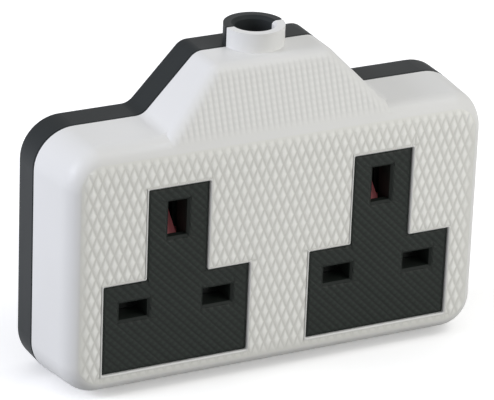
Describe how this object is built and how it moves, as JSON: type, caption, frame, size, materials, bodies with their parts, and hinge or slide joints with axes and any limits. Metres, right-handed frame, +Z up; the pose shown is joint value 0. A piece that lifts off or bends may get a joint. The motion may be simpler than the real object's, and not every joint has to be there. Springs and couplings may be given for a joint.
{
  "type": "trailing socket",
  "caption": "Rewireable trailing socket outlet: white front cover with T-shaped socket panels, dark rear cover, tapered cable neck with a split collar, and spring-loaded safety shutters.",
  "frame": {"origin": "on the surface under the outlet, at the middle of its base", "axes": "+Z up towards the cable collar, -Y out of the front face with the sockets, +X to the right seen from the front"},
  "size_m": [0.115, 0.0276, 0.0847],
  "materials": {
    "white_plastic": "moulded, satin",
    "charcoal_plastic": "moulded, satin",
    "panel_plastic": "moulded, fine hatch",
    "red_plastic": "moulded, gloss",
    "grip_nylon": "moulded, natural",
    "brass": "pressed strip",
    "spring_steel": "drawn wire",
    "screw_steel": "zinc plated"
  },
  "bodies": {
    "housing": {"front_cover": "white_plastic", "rear_cover": "charcoal_plastic", "socket_panel_left": "panel_plastic", "socket_panel_right": "panel_plastic", "shutter_spring_left": "spring_steel", "shutter_spring_right": "spring_steel", "contact_carrier_left": "panel_plastic", "contact_carrier_right": "panel_plastic", "neutral_busbar": "brass", "live_busbar": "brass", "earth_busbar": "brass", "neutral_terminal": "brass", "live_terminal": "brass", "earth_terminal": "brass", "terminal_screw_neutral": "screw_steel", "terminal_screw_live": "screw_steel", "terminal_screw_earth": "screw_steel", "cord_grip": "grip_nylon", "cord_grip_screw_left": "screw_steel", "cord_grip_screw_right": "screw_steel", "case_screw_left": "screw_steel", "case_screw_right": "screw_steel", "case_screw_lower": "screw_steel"},
    "shutter_left": {"shutter_left": "red_plastic"},
    "shutter_right": {"shutter_right": "red_plastic"}
  },
  "joints": [
    {"name": "shutter_left_slide", "type": "slide", "parent": "housing", "child": "shutter_left", "axis": [0, 0, -1], "range_m": [0, 0.006], "stiffness_N_per_m": 120, "springref_m": -0.004, "deforming": ["shutter_spring_left"]},
    {"name": "shutter_right_slide", "type": "slide", "parent": "housing", "child": "shutter_right", "axis": [0, 0, -1], "range_m": [0, 0.006], "stiffness_N_per_m": 120, "springref_m": -0.004, "deforming": ["shutter_spring_right"]}
  ]
}
